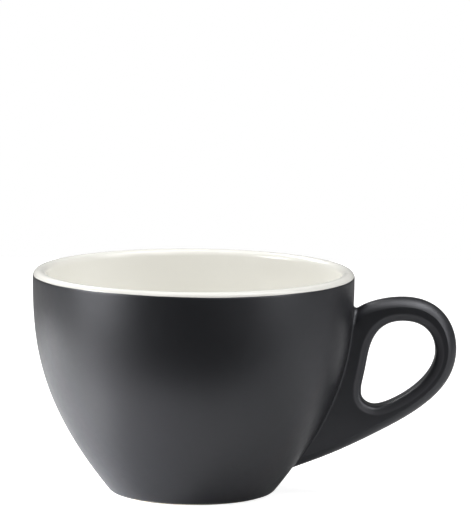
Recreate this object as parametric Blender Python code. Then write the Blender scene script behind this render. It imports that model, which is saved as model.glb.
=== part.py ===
"""Ceramic coffee cup: a thrown bowl on a foot ring, with a plate handle luted to its side.

Metres, +Z up. The origin is on the table, under the middle of the cup's length; +X runs
from the bowl's axis out through the handle.
"""
import math

import bmesh
import bpy
from mathutils import Vector

for item in list(bpy.data.objects):
    bpy.data.objects.remove(item, do_unlink=True)

# Bowl
RIM_RADIUS = 0.0480         # outside of the lip
CUP_HEIGHT = 0.0670         # table to the crest of the lip
LIP_WALL = 0.0040           # wall at the lip, glaze to glaze; the crest is a half round
HEEL_WALL = 0.0060          # wall at the foot of the side, glaze to glaze
SIDE_UPPER_PULL = 0.0203    # how far the side holds its upright start under the lip
SIDE_LOWER_PULL = 0.0331    # how far it holds its lean above the heel
SIDE_LEAN = math.radians(38.9)   # lean of the side from upright at the heel
HEEL_RADIUS = 0.0252        # radius of the side where the heel starts to round under
HEEL_ROUND = 0.0036         # rounding between the side and the table
FOOT_WIDTH = 0.0040         # flat of the foot ring that stands on the table
FOOT_CHAMFER = 0.0004       # broken edges of the foot ring
FOOT_RECESS = 0.0026        # depth of the hollow inside the foot ring
RECESS_SLOPE = 0.0012       # how far the wall of that hollow leans in
FLOOR_HEIGHT = 0.0080       # table to the floor inside
FLOOR_ROUND = 0.0200        # rounding between the inside wall and the floor

# Glaze and joints
GLAZE = 0.0004              # thickness of every coat
SEAT_GAP = 0.0003           # clearance between pieces that seat on each other
GLAZE_LINE = 0.0014         # crest of the lip down to the line where the two glazes meet
BARE_HEEL = 0.0005          # height above the table at which the outside coat was wiped off
SLIP = 0.0008               # layer of slip between the bowl and the handle

# Handle
HANDLE_THICKNESS = 0.0088   # across its two flat sides
HANDLE_CROWN = 0.0026       # how far the outer edge swells past the rims of the flat sides
HOLE_EDGE = 0.0018          # rounding along the finger hole
HOLE_STANDOFF = 0.00229     # rim radius out to the near side of the finger hole
HOLE_WIDTH = 0.02209
HOLE_HEIGHT = 0.02585
HOLE_DROP = 0.01444         # crest of the lip down to the top of the finger hole
BAND_TOP = 0.00693          # width of the band over the hole
BAND_SIDE = 0.00630         # width of the band beside the hole
ARM_DEPTH = 0.00673         # depth of the lower arm under the hole
ROOT_DROP = 0.0121          # crest of the lip down to where the top edge leaves the bowl
TAIL_RISE = 0.0073          # table up to where the lower edge runs into the bowl
ROOT_HEADING = math.radians(50.0)     # direction of the top edge as it leaves the bowl
ARM_HEADING = math.radians(-151.8)    # direction of the lower edge under the hole
TAIL_HEADING = math.radians(-159.0)   # direction of the lower edge at the bowl
ROOT_DEPTH = 0.0060         # how far the blank runs on into the bowl before it is cut to it

# Facets
TURN_STEPS = 48
SIDE_STEPS = 10
LIP_STEPS = 7
HEEL_STEPS = 3
FLOOR_STEPS = 5
OUTLINE_STEPS = 9
HOLE_STEPS = 5
CROWN_STEPS = 6
EDGE_STEPS = 3

MATERIALS = {
    "bowl": ((0.78, 0.74, 0.66), 0.75),
    "inner_glaze": ((0.86, 0.85, 0.78), 0.16),
    "outer_glaze": ((0.014, 0.013, 0.015), 0.42),
    "underside_glaze": ((0.014, 0.013, 0.015), 0.42),
    "handle": ((0.78, 0.74, 0.66), 0.75),
    "luting_slip": ((0.72, 0.68, 0.60), 0.80),
    "handle_glaze": ((0.014, 0.013, 0.015), 0.42),
}


def cubic(p0, p1, p2, p3, t):
    """Point and unit tangent of a cubic curve at t."""
    s = 1.0 - t
    point = p0 * s ** 3 + p1 * 3.0 * s * s * t + p2 * 3.0 * s * t * t + p3 * t ** 3
    slope = (p1 - p0) * s * s + (p2 - p1) * 2.0 * s * t + (p3 - p2) * t * t
    return point, slope.normalized()


def heading(angle):
    return Vector((math.cos(angle), math.sin(angle)))


# The turned profile. Points are (radius, height); the outward normal of a line that runs
# down the outside of the bowl is its tangent turned a quarter left.
LIP_CENTRE = Vector((RIM_RADIUS - LIP_WALL / 2, CUP_HEIGHT - LIP_WALL / 2))
HEEL_CENTRE = Vector((HEEL_RADIUS - HEEL_ROUND * math.cos(SIDE_LEAN), HEEL_ROUND))
SIDE_START = Vector((RIM_RADIUS, LIP_CENTRE.y))
SIDE_END = HEEL_CENTRE + heading(-SIDE_LEAN) * HEEL_ROUND
SIDE_CURVE = (
    SIDE_START,
    SIDE_START - Vector((0.0, SIDE_UPPER_PULL)),
    SIDE_END + Vector((math.sin(SIDE_LEAN), math.cos(SIDE_LEAN))) * SIDE_LOWER_PULL,
    SIDE_END,
)


def outside_at(t):
    """Point and outward normal of the finished outside at t, 0 at the lip, 1 at the heel."""
    point, tangent = cubic(*SIDE_CURVE, t)
    return point, Vector((-tangent.y, tangent.x))


def inside_at(t):
    """Point of the finished inside across the wall from outside_at(t), and the same normal."""
    point, normal = outside_at(t)
    return point - normal * (LIP_WALL + (HEEL_WALL - LIP_WALL) * t), normal


def outside_radius(height):
    """Finished radius of the outside at a height above the table."""
    low, high = 0.0, 1.0
    for _ in range(40):
        middle = (low + high) / 2
        if outside_at(middle)[0].y > height:
            low = middle
        else:
            high = middle
    return outside_at(low)[0].x


def floor_meets_wall():
    """Where along the side the floor's rounding leaves the inside wall."""
    low, high = 0.0, 1.0
    for _ in range(40):
        middle = (low + high) / 2
        point, normal = inside_at(middle)
        if point.y - normal.y * FLOOR_ROUND - FLOOR_ROUND > FLOOR_HEIGHT:
            low = middle
        else:
            high = middle
    return low


def lip_line(depth, first, last):
    """Lip, at a depth under its finished surface, from one angle to another."""
    radius = LIP_WALL / 2 - depth
    turn = (last - first) / LIP_STEPS
    return [LIP_CENTRE + heading(first + turn * k) * radius for k in range(LIP_STEPS + 1)]


def side_line(depth):
    """Outside of the bowl under the lip, at a depth under its finished surface."""
    line = []
    for k in range(1, SIDE_STEPS + 1):
        point, normal = outside_at(k / SIDE_STEPS)
        line.append(point - normal * depth)
    return line


def heel_line(depth, last):
    """Heel, at a depth under its finished surface, from the side round to an angle."""
    turn = (last + SIDE_LEAN) / HEEL_STEPS
    return [HEEL_CENTRE + heading(-SIDE_LEAN + turn * k) * (HEEL_ROUND - depth)
            for k in range(1, HEEL_STEPS + 1)]


def inside_line(depth):
    """Inside of the bowl from under the lip to the middle of the floor, at a depth."""
    end = floor_meets_wall()
    line = []
    for k in range(1, SIDE_STEPS + 1):
        point, normal = inside_at(end * k / SIDE_STEPS)
        line.append(point + normal * depth)
    point, normal = inside_at(end)
    centre = point - normal * FLOOR_ROUND
    start = math.atan2(normal.x, -normal.y)
    for k in range(1, FLOOR_STEPS + 1):
        angle = start * (1.0 - k / FLOOR_STEPS)
        line.append(centre + Vector((math.sin(angle), -math.cos(angle))) * (FLOOR_ROUND + depth))
    line.append(Vector((0.0, FLOOR_HEIGHT - depth)))
    return line


GLAZE_ANGLE = math.asin(1.0 - GLAZE_LINE / (LIP_WALL / 2))
GAP_ANGLE = SEAT_GAP / (LIP_WALL / 2)
BARE_ANGLE = -math.asin((HEEL_ROUND - BARE_HEEL) / HEEL_ROUND)
BODY_DEPTH = GLAZE + SEAT_GAP
FOOT_OUTER = HEEL_CENTRE.x + FOOT_CHAMFER
FOOT_INNER = FOOT_OUTER - FOOT_WIDTH


def bowl_profile():
    """Clay of the bowl, from the middle of the floor over the lip to the hollow of the foot."""
    line = inside_line(BODY_DEPTH)[::-1]
    line += lip_line(BODY_DEPTH, math.pi, 0.0)
    line += side_line(BODY_DEPTH)
    line += heel_line(BODY_DEPTH, BARE_ANGLE)
    line.append(Vector((FOOT_OUTER + FOOT_CHAMFER, FOOT_CHAMFER)))
    line.append(Vector((FOOT_OUTER, 0.0)))
    line.append(Vector((FOOT_INNER, 0.0)))
    line.append(Vector((FOOT_INNER - FOOT_CHAMFER, FOOT_CHAMFER)))
    line.append(Vector((FOOT_INNER - FOOT_CHAMFER - RECESS_SLOPE, FOOT_RECESS)))
    line.append(Vector((0.0, FOOT_RECESS)))
    return line


def inner_glaze_profile():
    """Coat over the inside, rolled over the lip to the glaze line."""
    face = inside_line(0.0)[::-1] + lip_line(0.0, math.pi, GLAZE_ANGLE)
    back = lip_line(GLAZE, GLAZE_ANGLE, math.pi) + inside_line(GLAZE)
    return face + back


def outer_glaze_profile():
    """Coat over the outside, from the glaze line to where the heel was wiped bare."""
    top = GLAZE_ANGLE - GAP_ANGLE
    face = lip_line(0.0, top, 0.0)[::LIP_STEPS] + side_line(0.0) + heel_line(0.0, BARE_ANGLE)
    back = lip_line(GLAZE, top, 0.0)[::LIP_STEPS] + side_line(GLAZE) + heel_line(GLAZE, BARE_ANGLE)
    return face + back[::-1]


def underside_glaze_profile():
    """Coat in the hollow of the foot ring."""
    top = FOOT_RECESS - SEAT_GAP
    low = top - GLAZE
    lean = RECESS_SLOPE / (FOOT_RECESS - FOOT_CHAMFER)
    edge = FOOT_INNER - FOOT_CHAMFER - RECESS_SLOPE - SEAT_GAP
    return [Vector((0.0, top)), Vector((edge, top)),
            Vector((edge + lean * GLAZE, low)), Vector((0.0, low))]


def cutter_profile(height):
    """Solid form of the bowl, raised above its finished outside, that cuts the handle's seat."""
    line = [Vector((0.0, CUP_HEIGHT)), LIP_CENTRE + Vector((LIP_WALL / 2 + height, LIP_WALL / 2))]
    line.append(SIDE_START + Vector((height, 0.0)))
    line += side_line(-height) + heel_line(-height, -math.pi / 2)
    line.append(Vector((0.0, line[-1].y)))
    return line


def slip_profile():
    """Ring that the slip is taken from, between the clay of the bowl and that of the handle."""
    back = SEAT_GAP - BODY_DEPTH
    face = back + SLIP
    low = [SIDE_START + Vector((back, 0.0))] + side_line(-back) + heel_line(-back, -math.pi / 2)
    high = [SIDE_START + Vector((face, 0.0))] + side_line(-face) + heel_line(-face, -math.pi / 2)
    return low + high[::-1]


HANDLE_SEAT = SEAT_GAP - BODY_DEPTH + SLIP + SEAT_GAP


# The handle's outlines, drawn in the plane through the bowl's axis. Each anchor is a point,
# the direction of travel there, and how far the curve holds that direction before and after.
HOLE_LEFT = RIM_RADIUS + HOLE_STANDOFF
HOLE_RIGHT = HOLE_LEFT + HOLE_WIDTH
HOLE_TOP = CUP_HEIGHT - HOLE_DROP
HOLE_LOW = HOLE_TOP - HOLE_HEIGHT
TOP_AT = HOLE_LEFT + HOLE_WIDTH * 0.556
LOW_AT = HOLE_LEFT + HOLE_WIDTH * 0.193

OUTER_ANCHORS = [
    (Vector((outside_radius(CUP_HEIGHT - ROOT_DROP), CUP_HEIGHT - ROOT_DROP)),
     ROOT_HEADING, 0.0, 0.0031),
    (Vector((TOP_AT, HOLE_TOP + BAND_TOP)), 0.0, 0.0066, 0.0124),
    (Vector((HOLE_RIGHT + BAND_SIDE, HOLE_LOW + HOLE_HEIGHT * 0.665)), -math.pi / 2, 0.0063, 0.0102),
    (Vector((LOW_AT + 0.00354, HOLE_LOW - ARM_DEPTH)), ARM_HEADING, 0.0146, 0.0176),
    (Vector((outside_radius(TAIL_RISE), TAIL_RISE)), TAIL_HEADING, 0.0080, 0.0),
]
HOLE_ANCHORS = [
    (Vector((TOP_AT, HOLE_TOP)), 0.0, 0.0092, 0.0092),
    (Vector((HOLE_RIGHT, HOLE_LOW + HOLE_HEIGHT * 0.625)), -math.pi / 2, 0.0021, 0.0088),
    (Vector((LOW_AT, HOLE_LOW)), math.pi, 0.0041, 0.0010),
    (Vector((HOLE_LEFT, HOLE_LOW + HOLE_HEIGHT * 0.166)), math.pi / 2, 0.0039, 0.0030),
    (Vector((HOLE_LEFT + HOLE_WIDTH * 0.065, HOLE_LOW + HOLE_HEIGHT * 0.509)),
     math.radians(79.8), 0.0070, 0.0043),
]


def run_outline(anchors, steps):
    """Points and left-hand normals along a chain of anchors, its last anchor left out."""
    found = []
    for (a, angle_a, _, after), (b, angle_b, before, _) in zip(anchors, anchors[1:]):
        for k in range(steps):
            point, tangent = cubic(a, a + heading(angle_a) * after,
                                   b - heading(angle_b) * before, b, k / steps)
            found.append((point, Vector((-tangent.y, tangent.x))))
    return found


def outer_outline(depth):
    """Handle's outer outline, at a depth under its finished edge, closed inside the bowl."""
    run = run_outline(OUTER_ANCHORS, OUTLINE_STEPS)
    end, angle = OUTER_ANCHORS[-1][:2]
    run.append((end, heading(angle + math.pi / 2)))
    points = [point - normal * depth for point, normal in run]
    points.append(points[-1] + heading(TAIL_HEADING) * ROOT_DEPTH)
    points.append(points[0] - heading(ROOT_HEADING) * ROOT_DEPTH)
    return points


def hole_outline(depth):
    """Finger hole's outline, at a depth under its finished edge."""
    run = run_outline(HOLE_ANCHORS + HOLE_ANCHORS[:1], HOLE_STEPS)
    return [point + normal * depth for point, normal in run]


COLLECTION = bpy.context.scene.collection
BOWL_AXIS = bpy.data.objects.new("bowl_axis", None)
BOWL_AXIS.location = ((RIM_RADIUS - HOLE_RIGHT - BAND_SIDE) / 2, 0.0, 0.0)
COLLECTION.objects.link(BOWL_AXIS)


def finish(name, bm, cutter=False):
    """Close a mesh's normals outward and link it as a piece, or as a hidden cutter."""
    bmesh.ops.recalc_face_normals(bm, faces=bm.faces)
    mesh = bpy.data.meshes.new(name)
    bm.to_mesh(mesh)
    bm.free()
    piece = bpy.data.objects.new(name, mesh)
    piece.parent = BOWL_AXIS
    COLLECTION.objects.link(piece)
    if cutter:
        piece.hide_render = True
        piece.display_type = "WIRE"
        return piece
    colour, roughness = MATERIALS[name]
    material = bpy.data.materials.new(name)
    material.use_nodes = True
    shader = material.node_tree.nodes["Principled BSDF"]
    shader.inputs["Base Color"].default_value = (*colour, 1.0)
    shader.inputs["Roughness"].default_value = roughness
    shader.inputs["Metallic"].default_value = 0.0
    mesh.materials.append(material)
    mesh.shade_smooth()
    mesh.set_sharp_from_angle(angle=math.radians(35.0))
    return piece


def turned(name, profile, ring=False, cutter=False):
    """Piece turned about the bowl's axis from a profile that ends on the axis, or is a ring."""
    bm = bmesh.new()
    points = [bm.verts.new((p.x, 0.0, p.y)) for p in profile]
    edges = [bm.edges.new(pair) for pair in zip(points, points[1:])]
    if ring:
        edges.append(bm.edges.new((points[-1], points[0])))
    bmesh.ops.spin(bm, geom=points + edges, cent=(0, 0, 0), axis=(0, 0, 1), dvec=(0, 0, 0),
                   angle=math.tau, steps=TURN_STEPS, use_merge=True, use_duplicate=False)
    bmesh.ops.remove_doubles(bm, verts=bm.verts, dist=1e-6)
    return finish(name, bm, cutter)


def add_loop(bm, points, y):
    verts = [bm.verts.new((p.x, y, p.y)) for p in points]
    return [bm.edges.new((verts[k - 1], verts[k])) for k in range(len(verts))]


def crown_levels(depth, half):
    """Depth under the outer edge and place across the plate, along the arc between its sides."""
    radius = (HANDLE_THICKNESS ** 2 / 4 + HANDLE_CROWN ** 2) / (2 * HANDLE_CROWN) - depth
    reach = math.asin(half / radius)
    turns = [reach * (2 * k / CROWN_STEPS - 1.0) for k in range(CROWN_STEPS + 1)]
    return [(radius * (1.0 - math.cos(turn)), radius * math.sin(turn)) for turn in turns]


def hole_levels(depth, half):
    """Depth under the hole's edge and place across the plate, round one edge and the other."""
    radius = HOLE_EDGE - depth
    near = []
    for k in range(EDGE_STEPS + 1):
        angle = math.pi / 2 * k / EDGE_STEPS
        near.append((radius * (1.0 - math.sin(angle)), -half + radius * (1.0 - math.cos(angle))))
    return near + [(depth, -y) for depth, y in reversed(near)]


def handle_blank(name, depth, cutter=False):
    """Handle before it is cut to the bowl, at a depth under its finished surface."""
    bm = bmesh.new()
    half = HANDLE_THICKNESS / 2 - depth
    ends = [[], []]
    for outline, levels in ((outer_outline, crown_levels), (hole_outline, hole_levels)):
        loops = [add_loop(bm, outline(depth + sunk), y) for sunk, y in levels(depth, half)]
        for low, high in zip(loops, loops[1:]):
            bmesh.ops.bridge_loops(bm, edges=low + high)
        ends[0] += loops[0]
        ends[1] += loops[-1]
    for edges in ends:
        bmesh.ops.triangle_fill(bm, edges=edges, use_beauty=True)
    return finish(name, bm, cutter)


def cut(piece, cutter, operation="DIFFERENCE"):
    step = piece.modifiers.new(cutter.name, "BOOLEAN")
    step.operation = operation
    step.solver = "EXACT"
    step.object = cutter


turned("bowl", bowl_profile())
turned("inner_glaze", inner_glaze_profile())
turned("underside_glaze", underside_glaze_profile())
outer_glaze = turned("outer_glaze", outer_glaze_profile(), ring=True)
handle = handle_blank("handle", BODY_DEPTH)
slip = handle_blank("luting_slip", BODY_DEPTH)
handle_glaze = handle_blank("handle_glaze", 0.0)

glaze_inside = handle_blank("glaze_inside", GLAZE, cutter=True)
slip_ring = turned("slip_ring", slip_profile(), ring=True, cutter=True)
handle_seat = turned("handle_seat", cutter_profile(HANDLE_SEAT), cutter=True)
glaze_seat = turned("glaze_seat", cutter_profile(SEAT_GAP), cutter=True)

cut(outer_glaze, glaze_inside)
cut(handle, handle_seat)
cut(slip, slip_ring, "INTERSECT")
cut(handle_glaze, glaze_inside)
cut(handle_glaze, glaze_seat)
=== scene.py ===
import math
import bmesh
import bpy
from mathutils import Matrix, Vector


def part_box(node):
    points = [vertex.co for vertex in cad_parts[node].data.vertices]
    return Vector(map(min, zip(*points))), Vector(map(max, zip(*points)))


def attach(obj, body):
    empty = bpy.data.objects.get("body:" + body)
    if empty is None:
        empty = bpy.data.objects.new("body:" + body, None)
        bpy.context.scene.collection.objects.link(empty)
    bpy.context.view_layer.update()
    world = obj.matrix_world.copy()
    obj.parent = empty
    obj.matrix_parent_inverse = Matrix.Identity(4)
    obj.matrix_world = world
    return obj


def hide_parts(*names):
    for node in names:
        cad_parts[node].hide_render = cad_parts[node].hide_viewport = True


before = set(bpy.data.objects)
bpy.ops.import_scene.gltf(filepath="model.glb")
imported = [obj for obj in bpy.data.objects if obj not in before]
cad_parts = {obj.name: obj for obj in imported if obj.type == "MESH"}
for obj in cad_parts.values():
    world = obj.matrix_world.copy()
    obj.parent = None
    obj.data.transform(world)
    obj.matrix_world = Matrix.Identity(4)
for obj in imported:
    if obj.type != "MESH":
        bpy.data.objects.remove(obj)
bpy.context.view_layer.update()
print("frame loaded:", sorted(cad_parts))

bowlLow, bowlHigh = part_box("bowl")
axisX = (bowlLow[0] + bowlHigh[0]) / 2  # the bowl's own axis in the part's frame


def heading(angle):
    return Vector((math.cos(angle), math.sin(angle)))


def cubic(p0, p1, p2, p3, t):
    s = 1 - t
    point = p0 * s ** 3 + p1 * 3 * s * s * t + p2 * 3 * s * t * t + p3 * t ** 3
    slope = (p1 - p0) * s * s + (p2 - p1) * 2 * s * t + (p3 - p2) * t * t
    return point, slope.normalized()


def bisect(test, low, high):
    for _ in range(44):
        middle = (low + high) / 2
        if test(middle):
            low = middle
        else:
            high = middle
    return (low + high) / 2


def finishPiece(name, bm, material, node):
    mesh = bpy.data.meshes.new(name)
    bm.to_mesh(mesh)
    bm.free()
    mesh.transform(Matrix.Translation((axisX, 0, 0)))  # drawn about the bowl's axis
    mesh.shade_smooth()
    mesh.set_sharp_from_angle(angle=math.radians(40))
    piece = bpy.data.objects.new(name, mesh)
    bpy.context.scene.collection.objects.link(piece)
    piece.data.materials.append(material)
    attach(piece, "root")
    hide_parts(node)
    print("made", name, len(mesh.polygons), "faces")


# bowl

bowl = dict(
    rimRadius=0.0480, height=0.0670,
    lipWall=0.0040, heelWall=0.0060,
    upperPull=0.0203, lowerPull=0.0331, lean=math.radians(38.9),
    heelRadius=0.0252, heelRound=0.0036,
    footWidth=0.0040, footChamfer=0.0004, footRecess=0.0026, recessSlope=0.0012,
    floorHeight=0.0080, floorRound=0.0200,
    glaze=0.0004, clayGap=0.0003,
    glazeLine=0.0014,      # crest down to where cream meets charcoal
    lineWander=0.00030,    # how far that line strays
    bareHeel=0.0005,
    turnSteps=192, sideSteps=64, lipSteps=20, heelSteps=10, floorSteps=24)

lipCentre = Vector((bowl["rimRadius"] - bowl["lipWall"] / 2, bowl["height"] - bowl["lipWall"] / 2))
heelCentre = Vector((bowl["heelRadius"] - bowl["heelRound"] * math.cos(bowl["lean"]), bowl["heelRound"]))
sideStart = Vector((bowl["rimRadius"], lipCentre.y))
sideEnd = heelCentre + heading(-bowl["lean"]) * bowl["heelRound"]
sideCurve = (sideStart, sideStart - Vector((0, bowl["upperPull"])),
             sideEnd + Vector((math.sin(bowl["lean"]), math.cos(bowl["lean"]))) * bowl["lowerPull"], sideEnd)
glazeAngle = math.asin(1 - bowl["glazeLine"] / (bowl["lipWall"] / 2))
bareAngle = -math.asin((bowl["heelRound"] - bowl["bareHeel"]) / bowl["heelRound"])
clayDepth = bowl["glaze"] + bowl["clayGap"]


def outsideAt(t):
    point, tangent = cubic(*sideCurve, t)
    return point, Vector((-tangent.y, tangent.x))


def insideAt(t):
    point, normal = outsideAt(t)
    return point - normal * (bowl["lipWall"] + (bowl["heelWall"] - bowl["lipWall"]) * t), normal


def lipLine(depth, first, last):
    step = (last - first) / bowl["lipSteps"]
    return [lipCentre + heading(first + step * k) * (bowl["lipWall"] / 2 - depth) for k in range(bowl["lipSteps"] + 1)]


def sideLine(depth):
    line = []
    for k in range(1, bowl["sideSteps"] + 1):
        point, normal = outsideAt(k / bowl["sideSteps"])
        line.append(point - normal * depth)
    return line


def heelLine(depth, last):
    step = (last + bowl["lean"]) / bowl["heelSteps"]
    return [heelCentre + heading(-bowl["lean"] + step * k) * (bowl["heelRound"] - depth)
            for k in range(1, bowl["heelSteps"] + 1)]


def floorRises(t):
    point, normal = insideAt(t)
    return point.y - (normal.y + 1) * bowl["floorRound"] > bowl["floorHeight"]


floorStart = bisect(floorRises, 0, 1)


def insideLine(depth):
    line = []
    for k in range(1, bowl["sideSteps"] + 1):
        point, normal = insideAt(floorStart * k / bowl["sideSteps"])
        line.append(point + normal * depth)
    point, normal = insideAt(floorStart)
    centre = point - normal * bowl["floorRound"]
    start = math.atan2(normal.x, -normal.y)
    for k in range(1, bowl["floorSteps"] + 1):
        angle = start * (1 - k / bowl["floorSteps"])
        line.append(centre + Vector((math.sin(angle), -math.cos(angle))) * (bowl["floorRound"] + depth))
    for k in (0.7, 0.4, 0.15):
        line.append(Vector((centre.x * k, bowl["floorHeight"] - depth)))
    line.append(Vector((0, bowl["floorHeight"] - depth)))
    return line


def turn(line, ring=False):
    bm = bmesh.new()
    verts = [bm.verts.new((p.x, 0, p.y)) for p in line]
    edges = [bm.edges.new(pair) for pair in zip(verts, verts[1:])]
    if ring:
        edges.append(bm.edges.new((verts[-1], verts[0])))
    bmesh.ops.spin(bm, geom=verts + edges, cent=(0, 0, 0), axis=(0, 0, 1), dvec=(0, 0, 0),
                   angle=math.tau, steps=bowl["turnSteps"], use_merge=True, use_duplicate=False)
    bmesh.ops.remove_doubles(bm, verts=bm.verts, dist=1e-6)
    bmesh.ops.recalc_face_normals(bm, faces=bm.faces)
    return bm


def wander(x, y):  # slow stray of the glaze line round the lip, highest at the front left
    a = math.atan2(y, x)
    return (0.5 + 0.5 * math.cos(a + 2.06)) ** 12 + math.sin(7 * a + 2.1) * 0.1 + math.sin(17 * a + 4.0) * 0.07


def strayEdge(bm, angleNow, reach):
    # slides the edge of a coat up or down the lip, fading out over reach
    for v in bm.verts:
        r = math.hypot(v.co.x, v.co.y)
        angle = math.atan2(v.co.z - lipCentre.y, r - lipCentre.x)
        if r < lipCentre.x or abs(angle - angleNow) > reach:
            continue
        radius = math.hypot(v.co.z - lipCentre.y, r - lipCentre.x)
        fade = 1 - abs(angle - angleNow) / reach
        angle += wander(v.co.x, v.co.y) * fade * bowl["lineWander"] / radius
        newR = lipCentre.x + math.cos(angle) * radius
        v.co.x *= newR / r
        v.co.y *= newR / r
        v.co.z = lipCentre.y + math.sin(angle) * radius


# handle

handle = dict(
    thickness=0.0088, crown=0.0026, holeEdge=0.0018,
    holeLead=0.0004,       # the hole's rounding starts this much farther out, at a faint line
    rim=0.0003,            # glaze rounds the line where the crowned edge meets a flat side
    holeStandoff=0.00229, holeWidth=0.02209, holeHeight=0.02585, holeDrop=0.01444,
    bandTop=0.00693, bandSide=0.00630, armDepth=0.00673,
    rootDrop=0.0121, tailRise=0.0073,
    rootHeading=math.radians(50), armHeading=math.radians(-151.8), tailHeading=math.radians(-159),
    fillet=0.0009,         # slip smoothed into the corner between handle and bowl
    shell=0.00035,
    outlineSteps=150, holeSteps=26, crownSteps=10, rimSteps=3, edgeSteps=9, seamSteps=56, filletSteps=8)


def radiusAt(height):
    return outsideAt(bisect(lambda t: outsideAt(t)[0].y > height, 0, 1))[0].x


holeLeft = bowl["rimRadius"] + handle["holeStandoff"]
holeRight = holeLeft + handle["holeWidth"]
holeTop = bowl["height"] - handle["holeDrop"]
holeLow = holeTop - handle["holeHeight"]
topAt = holeLeft + handle["holeWidth"] * 0.556
lowAt = holeLeft + handle["holeWidth"] * 0.193
rootAt = bowl["height"] - handle["rootDrop"]

# anchors: point, direction of travel, how far the curve holds it before and after
outerAnchors = [
    (Vector((radiusAt(rootAt), rootAt)), handle["rootHeading"], 0, 0.0031),
    (Vector((topAt, holeTop + handle["bandTop"])), 0, 0.0066, 0.0124),
    (Vector((holeRight + handle["bandSide"], holeLow + handle["holeHeight"] * 0.665)), -math.pi / 2, 0.0063, 0.0102),
    (Vector((lowAt + 0.00354, holeLow - handle["armDepth"])), handle["armHeading"], 0.0146, 0.0176),
    (Vector((radiusAt(handle["tailRise"]), handle["tailRise"])), handle["tailHeading"], 0.0080, 0)]
holeAnchors = [
    (Vector((topAt, holeTop)), 0, 0.0092, 0.0092),
    (Vector((holeRight, holeLow + handle["holeHeight"] * 0.625)), -math.pi / 2, 0.0021, 0.0088),
    (Vector((lowAt, holeLow)), math.pi, 0.0041, 0.0010),
    (Vector((holeLeft, holeLow + handle["holeHeight"] * 0.166)), math.pi / 2, 0.0039, 0.0030),
    (Vector((holeLeft + handle["holeWidth"] * 0.065, holeLow + handle["holeHeight"] * 0.509)), math.radians(79.8), 0.0070, 0.0043)]
holeAnchors.append(holeAnchors[0])


def chainAt(anchors, s):
    k = min(max(int(s), 0), len(anchors) - 2)
    (a, angleA, _, after), (b, angleB, before, _) = anchors[k], anchors[k + 1]
    point, tangent = cubic(a, a + heading(angleA) * after, b - heading(angleB) * before, b, s - k)
    return point, Vector((-tangent.y, tangent.x))  # normal to the left of travel


sideTable = [(k / 200, *outsideAt(k / 200)) for k in range(201)]


def aboveBowl(p):
    # distance of a point from the finished outside, and the outside's normal there
    flat = Vector((math.hypot(p.x, p.y), p.z))
    t = min(sideTable, key=lambda row: (row[1] - flat).length_squared)[0]
    for _ in range(3):
        point, normal = outsideAt(t)
        tangent = Vector((normal.y, -normal.x))
        ahead, behind = outsideAt(t + 1e-4)[0], outsideAt(t - 1e-4)[0]
        t += (flat - point).dot(tangent) / max((ahead - behind).length / 2e-4, 1e-9)
    point, normal = outsideAt(t)
    out = Vector((normal.x * p.x / flat.x, normal.x * p.y / flat.x, normal.y))
    return (flat - point).dot(normal), out


crownRadius = (handle["thickness"] ** 2 / 4 + handle["crown"] ** 2) / (2 * handle["crown"])
rimAngle = math.asin((handle["thickness"] / 2 - handle["rim"]) / (crownRadius - handle["rim"]))


def levelPoint(s, phi, side):
    # point and normal on the crowned outer edge, phi 0 on its crest and a quarter turn on the flat
    point, normal = chainAt(outerAnchors, max(s, 0))
    point = point + heading(handle["rootHeading"]) * min(s, 0) * 0.006  # straight on into the bowl
    bend = min(phi, rimAngle)
    sunk = crownRadius * (1 - math.cos(bend)) + handle["rim"] * (math.cos(bend) - math.cos(phi))
    flat = point - normal * sunk
    y = side * (crownRadius * math.sin(bend) + handle["rim"] * (math.sin(phi) - math.sin(bend)))
    out = Vector((normal.x * math.cos(phi), side * math.sin(phi), normal.y * math.cos(phi)))
    return Vector((flat.x, y, flat.y)), out


def holeSection():
    # the hole's edge from the flat inward: how far back from the opening, how deep, and how much painted highlight it
    # carries (full on the crease line, fading out over the rounding)
    slant = 2 * math.atan(handle["holeLead"] / handle["holeEdge"])
    centre = handle["holeEdge"] + handle["holeLead"] + handle["rim"] * math.tan(slant / 2)
    line = [(centre + 0.0004, 0, 0)]
    for k in range(handle["rimSteps"] + 1):
        a = slant * k / handle["rimSteps"]
        line.append((centre - handle["rim"] * math.sin(a), handle["rim"] * (1 - math.cos(a)), 1))
    for k in range(handle["edgeSteps"] + 1):
        a = slant + (math.pi / 2 - slant) * k / handle["edgeSteps"]
        line.append((handle["holeEdge"] * (1 - math.sin(a)), handle["holeEdge"] * (1 - math.cos(a)), max(0, 0.5 - 0.1 * k)))
    return line


def ballClear(p, out):
    return aboveBowl(p + out * handle["fillet"])[0] - handle["fillet"]


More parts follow.
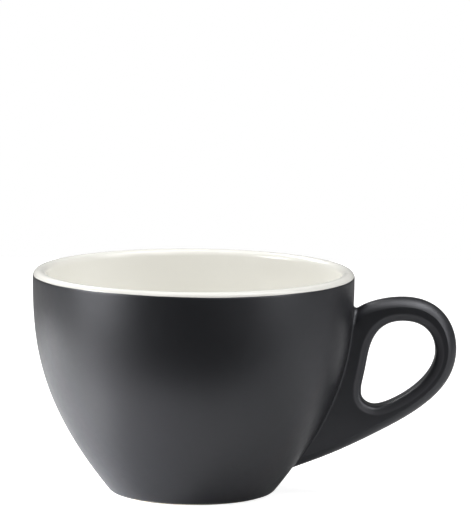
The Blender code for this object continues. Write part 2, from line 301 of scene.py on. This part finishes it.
def makeHandle():
    bm = bmesh.new()
    # per-vertex share of the painted highlight along the hole's crease line
    creaseHighlight = bm.verts.layers.float.new("paintedCreaseHighlight")
    half = handle["thickness"] / 2
    turns = [rimAngle * k / handle["crownSteps"] for k in range(handle["crownSteps"] + 1)]
    turns += [rimAngle + (math.pi / 2 - rimAngle) * k / handle["rimSteps"] for k in range(1, handle["rimSteps"] + 1)]
    levels = [(phi, -1) for phi in reversed(turns)] + [(phi, 1) for phi in turns[1:]]
    last = len(outerAnchors) - 1
    rows = []
    for phi, side in levels:
        start = bisect(lambda s: ballClear(*levelPoint(s, phi, side)) < 0, -1.0, 1.0)
        end = bisect(lambda s: ballClear(*levelPoint(s, phi, side)) > 0, last - 1.0, last)
        steps = [start + (end - start) * k / handle["outlineSteps"] for k in range(handle["outlineSteps"] + 1)]
        rows.append([levelPoint(s, phi, side) for s in steps])
    chains = []
    for row in rows:
        verts = [bm.verts.new(p) for p, _ in row]
        chains.append((verts, [bm.edges.new(pair) for pair in zip(verts, verts[1:])]))
    for low, high in zip(chains, chains[1:]):
        bmesh.ops.bridge_loops(bm, edges=low[1] + high[1])
    # finger hole
    section = holeSection()
    rings = []
    for back, deep, highlightShare, side in [(*ring, -1) for ring in section] + [(*ring, 1) for ring in reversed(section)]:
        verts = []
        for k in range((len(holeAnchors) - 1) * handle["holeSteps"]):
            point, normal = chainAt(holeAnchors, k / handle["holeSteps"])
            point = point + normal * back
            verts.append(bm.verts.new((point.x, side * (half - deep), point.y)))
            # how much painted highlight this ring of the hole carries
            verts[-1][creaseHighlight] = highlightShare
        rings.append(verts)
    for low, high in zip(rings, rings[1:]):
        for k in range(len(low)):
            bm.faces.new((low[k - 1], low[k], high[k], high[k - 1]))
    holeLoops = [[bm.edges.get((ring[k - 1], ring[k])) for k in range(len(ring))] for ring in (rings[0], rings[-1])]
    # seams where the flat sides reach the slip, then the flats themselves
    seams = []
    for row, chain, loop, side in ((rows[0], chains[0], holeLoops[0], -1), (rows[-1], chains[-1], holeLoops[-1], 1)):
        top, tail = row[0][0], row[-1][0]
        out = Vector((0, side, 0))
        points = []
        for k in range(1, handle["seamSteps"]):
            z = top.z + (tail.z - top.z) * k / handle["seamSteps"]
            x = bisect(lambda v: ballClear(Vector((v, side * half, z)), out) < 0, 0.015, 0.056)
            points.append((Vector((x, side * half, z)), out))
        verts = [chain[0][0]] + [bm.verts.new(p) for p, _ in points] + [chain[0][-1]]
        edges = [bm.edges.new(pair) for pair in zip(verts, verts[1:])]
        seams.append((verts, points))
        bmesh.ops.triangle_fill(bm, edges=chain[1] + loop + edges, use_beauty=True, normal=out)
    # slip corner rolled round the root
    ring = [chains[k][0][0] for k in range(len(chains))]
    data = [row[0] for row in rows]
    ring += seams[1][0][1:]
    data += seams[1][1]
    data.append(rows[-1][-1])
    ring += [chains[k][0][-1] for k in range(len(chains) - 2, -1, -1)]
    data += [rows[k][-1] for k in range(len(chains) - 2, -1, -1)]
    ring += seams[0][0][1:-1][::-1]
    data += seams[0][1][::-1]
    size = len(ring)
    before = [bm.edges.get((ring[k - 1], ring[k])) for k in range(size)]
    for step in range(1, handle["filletSteps"] + 1):
        verts = []
        for p, out in data:
            centre = p + out * handle["fillet"]
            normal = aboveBowl(centre)[1]
            arc = math.acos(max(-1, min(1, out.dot(normal))))
            share = step / handle["filletSteps"]
            blend = out * math.sin((1 - share) * arc) + normal * math.sin(share * arc)
            verts.append(bm.verts.new(centre - blend.normalized() * handle["fillet"]))
        edges = [bm.edges.new((verts[k - 1], verts[k])) for k in range(size)]
        bmesh.ops.bridge_loops(bm, edges=before + edges)
        before = edges
    foot = [v.co.copy() for v in verts]
    bmesh.ops.recalc_face_normals(bm, faces=bm.faces)
    bm.faces.ensure_lookup_table()
    outermost = max(bm.faces, key=lambda f: f.calc_center_median().x)
    if outermost.normal.x < 0:
        bmesh.ops.reverse_faces(bm, faces=bm.faces)
    bmesh.ops.solidify(bm, geom=bm.faces[:], thickness=handle["shell"])
    return bm, foot


def insideFoot(p, foot):
    # is a point of the outside under the handle's foot, seen along its own radius
    hits = False
    for a, b in zip(foot, foot[1:] + foot[:1]):
        if (a.z > p.z) != (b.z > p.z):
            y = a.y + (b.y - a.y) * (p.z - a.z) / (b.z - a.z)
            if y > p.y:
                hits = not hits
    return hits and p.x > 0


# finishes

def nodesFor(name):
    material = bpy.data.materials.new(name)
    material.use_nodes = True
    tree = material.node_tree
    return material, tree, tree.nodes["Principled BSDF"], tree.nodes.new("ShaderNodeTexCoord").outputs["Object"]


def noise(tree, coords, scale, detail=3.0, rough=0.5):
    node = tree.nodes.new("ShaderNodeTexNoise")
    node.inputs["Scale"].default_value = scale
    node.inputs["Detail"].default_value = detail
    node.inputs["Roughness"].default_value = rough
    tree.links.new(coords, node.inputs["Vector"])
    return node.outputs["Fac"]


def ramp(tree, value, stops):
    node = tree.nodes.new("ShaderNodeValToRGB")
    band = node.color_ramp
    while len(band.elements) < len(stops):
        band.elements.new(0.5)
    for element, (place, colour) in zip(band.elements, stops):
        element.position = place
        element.color = (*colour, 1)
    tree.links.new(value, node.inputs["Fac"])
    return node.outputs["Color"]


def spread(tree, value, low, high):
    node = tree.nodes.new("ShaderNodeMapRange")
    node.inputs["From Min"].default_value = 0.3
    node.inputs["From Max"].default_value = 0.7
    node.inputs["To Min"].default_value = low
    node.inputs["To Max"].default_value = high
    tree.links.new(value, node.inputs["Value"])
    return node.outputs["Result"]


def bump(tree, height, distance, strength, shader):
    node = tree.nodes.new("ShaderNodeBump")
    node.inputs["Strength"].default_value = strength
    node.inputs["Distance"].default_value = distance
    tree.links.new(height, node.inputs["Height"])
    tree.links.new(node.outputs["Normal"], shader.inputs["Normal"])


def charcoalFinish():
    material, tree, shader, coords = nodesFor("charcoalGlaze")
    mottle = noise(tree, coords, 60, 4)
    # painted highlight: mixes a lighter grey in along the hole's crease line
    creaseHighlight = tree.nodes.new("ShaderNodeAttribute")
    creaseHighlight.attribute_name = "paintedCreaseHighlight"
    colour = tree.nodes.new("ShaderNodeMix")
    colour.data_type = "RGBA"
    tree.links.new(creaseHighlight.outputs["Fac"], colour.inputs["Factor"])
    glaze = ramp(tree, mottle, [(0.30, (0.0066, 0.0068, 0.0086)), (0.70, (0.0084, 0.0087, 0.0108))])
    tree.links.new(glaze, colour.inputs["A"])
    colour.inputs["B"].default_value = (0.040, 0.040, 0.044, 1)  # painted highlight: a lighter grey along the hole's crease line, standing in for the light it catches
    tree.links.new(colour.outputs["Result"], shader.inputs["Base Color"])
    tree.links.new(spread(tree, noise(tree, coords, 420, 3), 0.40, 0.44), shader.inputs["Roughness"])
    shader.inputs["IOR"].default_value = 1.7
    shader.inputs["Specular Tint"].default_value = (0.93, 0.94, 1.0, 1)
    bump(tree, noise(tree, coords, 2600, 2), 0.00002, 0.25, shader)
    return material


def creamFinish():
    material, tree, shader, coords = nodesFor("creamGlaze")
    pool = noise(tree, coords, 45, 3)
    glaze = ramp(tree, pool, [(0.30, (0.81, 0.799, 0.748)), (0.70, (0.835, 0.825, 0.776))])
    tree.links.new(glaze, shader.inputs["Base Color"])
    tree.links.new(spread(tree, noise(tree, coords, 300, 2), 0.12, 0.2), shader.inputs["Roughness"])
    bump(tree, noise(tree, coords, 240, 2), 0.00004, 0.12, shader)
    return material


def clayFinish(name, light, dark):
    material, tree, shader, coords = nodesFor(name)
    tree.links.new(ramp(tree, noise(tree, coords, 900, 5, 0.65), [(0.32, dark), (0.60, light)]), shader.inputs["Base Color"])
    tree.links.new(spread(tree, noise(tree, coords, 500, 3), 0.70, 0.85), shader.inputs["Roughness"])
    bump(tree, noise(tree, coords, 1800, 4), 0.00008, 0.5, shader)
    return material


charcoal = charcoalFinish()
cream = creamFinish()
clay = clayFinish("bareClay", (0.76, 0.71, 0.62), (0.62, 0.56, 0.47))
slip = clayFinish("lutingSlip", (0.70, 0.65, 0.56), (0.58, 0.52, 0.44))
print("finishes ready")

# pieces

bm, foot = makeHandle()
finishPiece("handleCoat", bm, charcoal, "handle_glaze")

bm = turn(lipLine(0, glazeAngle - 0.015, 0)[::2] + sideLine(0) + heelLine(0, bareAngle))
strayEdge(bm, glazeAngle - 0.015, 0.25)
under = [f for f in bm.faces if all(insideFoot(v.co, foot) for v in f.verts)]
bmesh.ops.delete(bm, geom=under, context="FACES")
bm.faces.ensure_lookup_table()
probe = bm.faces[0]
if probe.normal.dot(Vector((probe.calc_center_median().x, probe.calc_center_median().y, 0))) < 0:
    bmesh.ops.reverse_faces(bm, faces=bm.faces)
bmesh.ops.solidify(bm, geom=bm.faces[:], thickness=bowl["glaze"])
finishPiece("outsideCoat", bm, charcoal, "outer_glaze")

bm = turn(insideLine(0)[::-1] + lipLine(0, math.pi, glazeAngle)
          + lipLine(bowl["glaze"], glazeAngle, math.pi) + insideLine(bowl["glaze"]))
strayEdge(bm, glazeAngle, 0.25)
finishPiece("insideCoat", bm, cream, "inner_glaze")

footOuter = heelCentre.x + bowl["footChamfer"]
footInner = footOuter - bowl["footWidth"]
line = insideLine(clayDepth)[::-1] + lipLine(clayDepth, math.pi, 0) + sideLine(clayDepth) + heelLine(clayDepth, bareAngle)
line += [Vector((footOuter + bowl["footChamfer"], bowl["footChamfer"])), Vector((footOuter, 0)), Vector((footInner, 0))]
line += [Vector((footInner - bowl["footChamfer"], bowl["footChamfer"]))]
line += [Vector((footInner - bowl["footChamfer"] - bowl["recessSlope"], bowl["footRecess"])), Vector((0, bowl["footRecess"]))]
finishPiece("clayBowl", turn(line), clay, "bowl")

top = bowl["footRecess"] - bowl["clayGap"]
low = top - bowl["glaze"]
edge = footInner - bowl["footChamfer"] - bowl["recessSlope"] - bowl["clayGap"]
line = [Vector((0, top)), Vector((edge, top)), Vector((edge + 0.0002, low)), Vector((0, low))]
finishPiece("undersideCoat", turn(line), charcoal, "underside_glaze")

for node, finish in (("handle", clay), ("luting_slip", slip)):
    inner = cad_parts[node]
    inner.data.materials.clear()
    inner.data.materials.append(finish)

# stage, light and camera

cup = (0, 0, 0.035)
stage = dict(
    tableFrom=(-0.50, -0.094), tableTo=(0.50, 0.50),  # the cup stands near the front edge
    tableColour=(0.50, 0.50, 0.50), seenLift=0.86, mirrorLift=0.02,
    roomLight=0.068, mirrorLight=0.08,                # mirrorLight: the white behind the cup, in its reflections
    softboxes=[            # name, degrees round from the camera, height, distance, aim, size, power, beam
        ("backLeftBox", -142, 0.75, 0.80, cup, (0.45, 0.42), 3.9, 180),
        ("topBox", 0, 0.90, 0.00, cup, (0.50, 0.50), 1.85, 180),
        ("topRightBox", 90, 0.90, 0.45, cup, (0.40, 0.40), 2.40, 180),
        ("topFrontBox", 45, 0.90, 0.40, cup, (0.40, 0.40), 1.38, 180),
        ("rightHighBox", 80, 0.60, 0.70, cup, (0.35, 0.35), 1.25, 180),
        ("rightBox", 62, 0.22, 0.80, cup, (0.32, 0.42), 1.35, 180),
        ("frontRightBox", 30, 0.50, 0.90, cup, (0.30, 0.30), 1.15, 180),
        ("leftBox", -75, 0.30, 0.50, cup, (0.25, 0.25), 1.75, 180),
        ("leftLowBox", -66, 0.045, 0.45, cup, (0.25, 0.09), 0.43, 180),
        ("footFrontBox", -71.6, 0.10, 0.095, (-0.09, -0.03, 0), (0.03, 0.03), 0.014, 36),
        ("lowLeftStrip", -80, 0.02, 0.40, (-0.02, -0.01, 0), (0.20, 0.03), 0.115, 14),
        ("lowBackStrip", -120, 0.02, 0.40, (-0.02, 0, 0), (0.20, 0.03), 0.240, 14)])
view = dict(place=(axisX + 0.01239, -1.38085, 0.26376), pitch=math.radians(7.937), roll=math.radians(0.541), focal=4676.8)


def seenDirectly(nodes, links):
    # 1 where the camera looks, straight or through glass
    path = nodes.new("ShaderNodeLightPath")
    either = nodes.new("ShaderNodeMath")
    either.operation = "MAXIMUM"
    links.new(path.outputs["Is Camera Ray"], either.inputs[0])
    links.new(path.outputs["Is Transmission Ray"], either.inputs[1])
    return path, either.outputs[0]


def makeTable():
    bm = bmesh.new()
    (x0, y0), (x1, y1) = stage["tableFrom"], stage["tableTo"]
    bm.faces.new([bm.verts.new((x, y, -0.00005)) for x, y in ((x0, y0), (x1, y0), (x1, y1), (x0, y1))])
    mesh = bpy.data.meshes.new("table")
    bm.to_mesh(mesh)
    bm.free()
    table = bpy.data.objects.new("table", mesh)
    bpy.context.scene.collection.objects.link(table)
    material, tree, shader, coords = nodesFor("paleTable")
    shader.inputs["Base Color"].default_value = (*stage["tableColour"], 1)
    shader.inputs["Roughness"].default_value = 0.9
    shader.inputs["Specular IOR Level"].default_value = 0.1
    path, seen = seenDirectly(tree.nodes, tree.links)
    lift = tree.nodes.new("ShaderNodeMath")
    lift.operation = "MULTIPLY"
    lift.inputs[1].default_value = stage["seenLift"]
    tree.links.new(seen, lift.inputs[0])
    level = tree.nodes.new("ShaderNodeMath")
    level.operation = "MULTIPLY_ADD"
    level.inputs[1].default_value = stage["mirrorLift"]
    tree.links.new(path.outputs["Is Glossy Ray"], level.inputs[0])
    tree.links.new(lift.outputs[0], level.inputs[2])
    shader.inputs["Emission Color"].default_value = (1, 1, 1, 1)
    tree.links.new(level.outputs[0], shader.inputs["Emission Strength"])
    table.data.materials.append(material)


def makeRoom():
    # white wherever the camera looks, and behind the cup in its reflections too
    world = bpy.data.worlds.new("studio")
    bpy.context.scene.world = world
    world.use_nodes = True
    nodes, links = world.node_tree.nodes, world.node_tree.links
    path, seen = seenDirectly(nodes, links)
    toward = nodes.new("ShaderNodeSeparateXYZ")
    links.new(nodes.new("ShaderNodeTexCoord").outputs["Generated"], toward.inputs[0])
    behind = nodes.new("ShaderNodeMapRange")
    behind.interpolation_type = "SMOOTHSTEP"
    behind.inputs["From Min"].default_value = -0.25
    behind.inputs["From Max"].default_value = 0.35
    behind.inputs["To Max"].default_value = stage["mirrorLight"]
    links.new(toward.outputs["Y"], behind.inputs["Value"])
    mirrored = nodes.new("ShaderNodeMath")
    mirrored.operation = "MULTIPLY"
    links.new(path.outputs["Is Glossy Ray"], mirrored.inputs[0])
    links.new(behind.outputs["Result"], mirrored.inputs[1])
    white = nodes.new("ShaderNodeMath")
    white.operation = "MAXIMUM"
    links.new(seen, white.inputs[0])
    links.new(mirrored.outputs[0], white.inputs[1])
    strength = nodes.new("ShaderNodeMapRange")
    strength.inputs["To Min"].default_value = stage["roomLight"]
    strength.inputs["To Max"].default_value = 1.0
    links.new(white.outputs[0], strength.inputs["Value"])
    back = nodes["Background"]
    back.inputs["Color"].default_value = (1, 1, 1, 1)
    links.new(strength.outputs["Result"], back.inputs["Strength"])


def makeLamps():
    for name, around, height, distance, aim, size, power, beam in stage["softboxes"]:
        lamp = bpy.data.lights.new(name, "AREA")
        lamp.shape = "RECTANGLE"
        lamp.size, lamp.size_y = size
        lamp.energy = power
        lamp.spread = math.radians(beam)
        holder = bpy.data.objects.new(name, lamp)
        angle = math.radians(around)
        holder.location = (math.sin(angle) * distance, -math.cos(angle) * distance, height)
        holder.rotation_euler = (Vector(aim) - holder.location).to_track_quat("-Z", "Y").to_euler()
        holder.visible_camera = False
        bpy.context.scene.collection.objects.link(holder)


def makeCamera():
    lens = bpy.data.cameras.new("camera")
    lens.lens = view["focal"] * 36 / 512
    lens.sensor_width = 36
    lens.clip_start, lens.clip_end = 0.05, 20
    camera = bpy.data.objects.new("camera", lens)
    turnBy = Matrix.Rotation(math.pi / 2 - view["pitch"], 4, "X") @ Matrix.Rotation(view["roll"], 4, "Z")
    camera.matrix_world = Matrix.Translation(view["place"]) @ turnBy
    bpy.context.scene.collection.objects.link(camera)
    bpy.context.scene.camera = camera


makeTable()
makeRoom()
makeLamps()
makeCamera()
bpy.context.scene.view_settings.view_transform = "Standard"
print("stage set")
